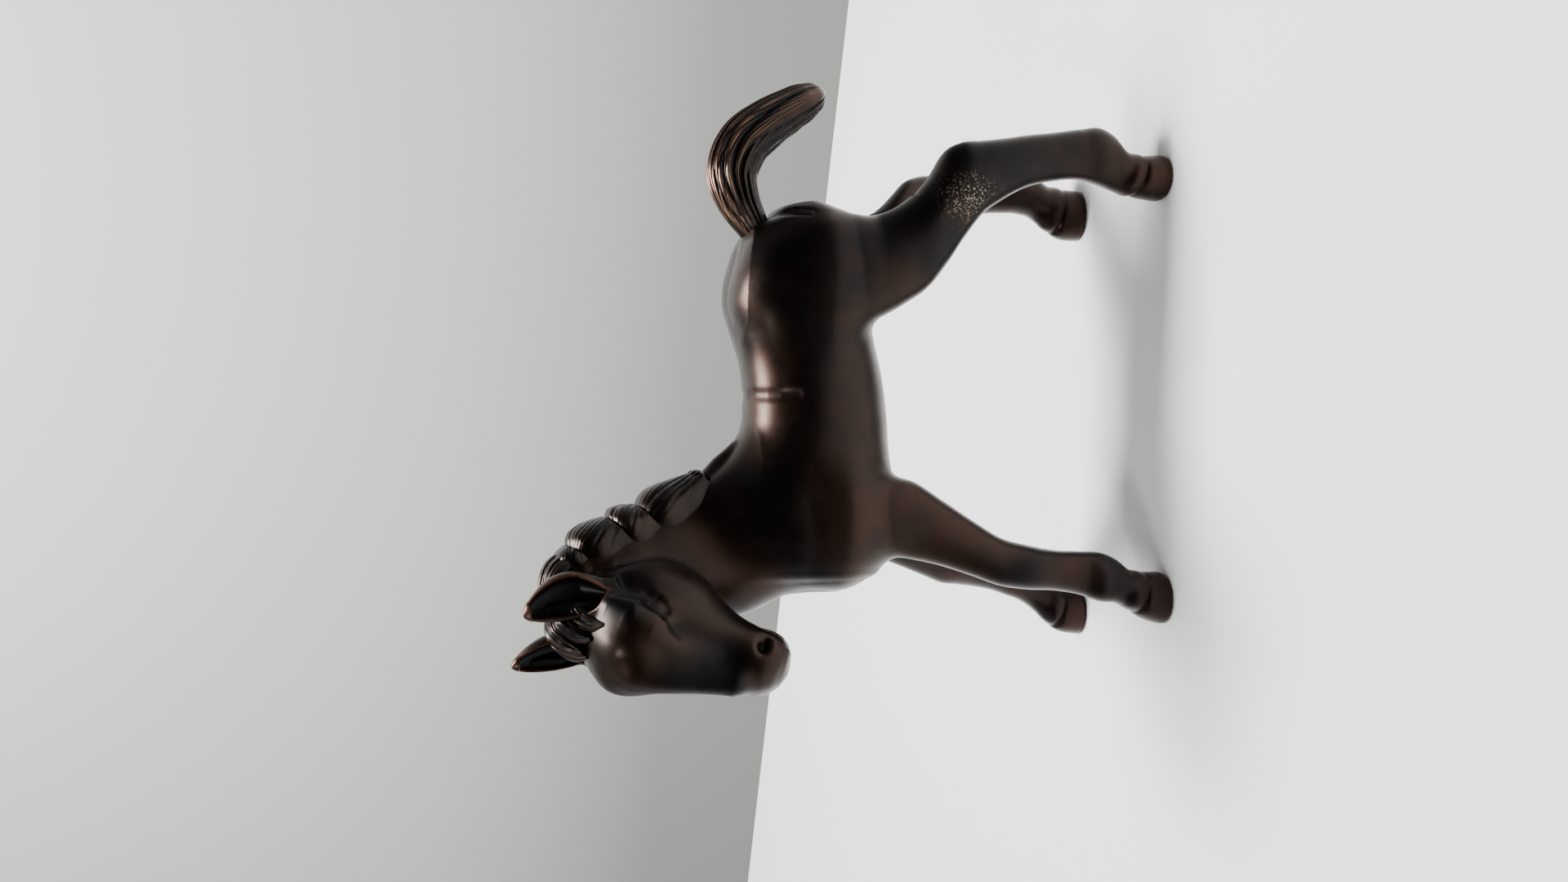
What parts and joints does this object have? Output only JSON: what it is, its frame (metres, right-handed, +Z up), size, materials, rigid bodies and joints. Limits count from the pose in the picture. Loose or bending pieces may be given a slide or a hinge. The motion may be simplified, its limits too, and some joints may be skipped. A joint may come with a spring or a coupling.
{
  "type": "bronze foal figurine",
  "caption": "Standing foal figurine of dark patinated cast bronze, head turned to its left and tail lifted, standing on its own hooves as a shelf or desk ornament.",
  "frame": {"origin": "on the ground plane the hooves stand on, under the middle of the foal's bounding box", "axes": "+Z up; the foal faces -X with its tail towards +X; its left flank, the side on show, faces -Y"},
  "size_m": [0.1094, 0.0418, 0.1208],
  "materials": {
    "patinated_bronze": "dark brown patina, waxed to a satin shine",
    "chased_hair_bronze": "dark brown patina, chased hair with lighter rubbed ridges",
    "joint_pins": "plain drawn bronze wire, dressed flush and patinated at the ends",
    "core_plugs": "bronze plugs, chased flush and patinated"
  },
  "bodies": {
    "root": {"torso": "patinated_bronze", "neck": "patinated_bronze", "head": "patinated_bronze", "mane": "chased_hair_bronze", "forelock": "chased_hair_bronze", "left_ear": "patinated_bronze", "right_ear": "patinated_bronze", "tail": "chased_hair_bronze", "left_foreleg": "patinated_bronze", "right_foreleg": "patinated_bronze", "left_hindleg": "patinated_bronze", "right_hindleg": "patinated_bronze", "left_foreleg_pin": "joint_pins", "right_foreleg_pin": "joint_pins", "left_hindleg_pin": "joint_pins", "right_hindleg_pin": "joint_pins", "neck_pin": "joint_pins", "head_pin": "joint_pins", "tail_pin": "joint_pins", "left_ear_pin": "joint_pins", "right_ear_pin": "joint_pins", "forelock_pin": "joint_pins", "upper_mane_pin": "joint_pins", "lower_mane_pin": "joint_pins", "left_shoulder_plug": "core_plugs", "right_shoulder_plug": "core_plugs", "left_loin_plug": "core_plugs", "right_loin_plug": "core_plugs"}
  },
  "joints": []
}
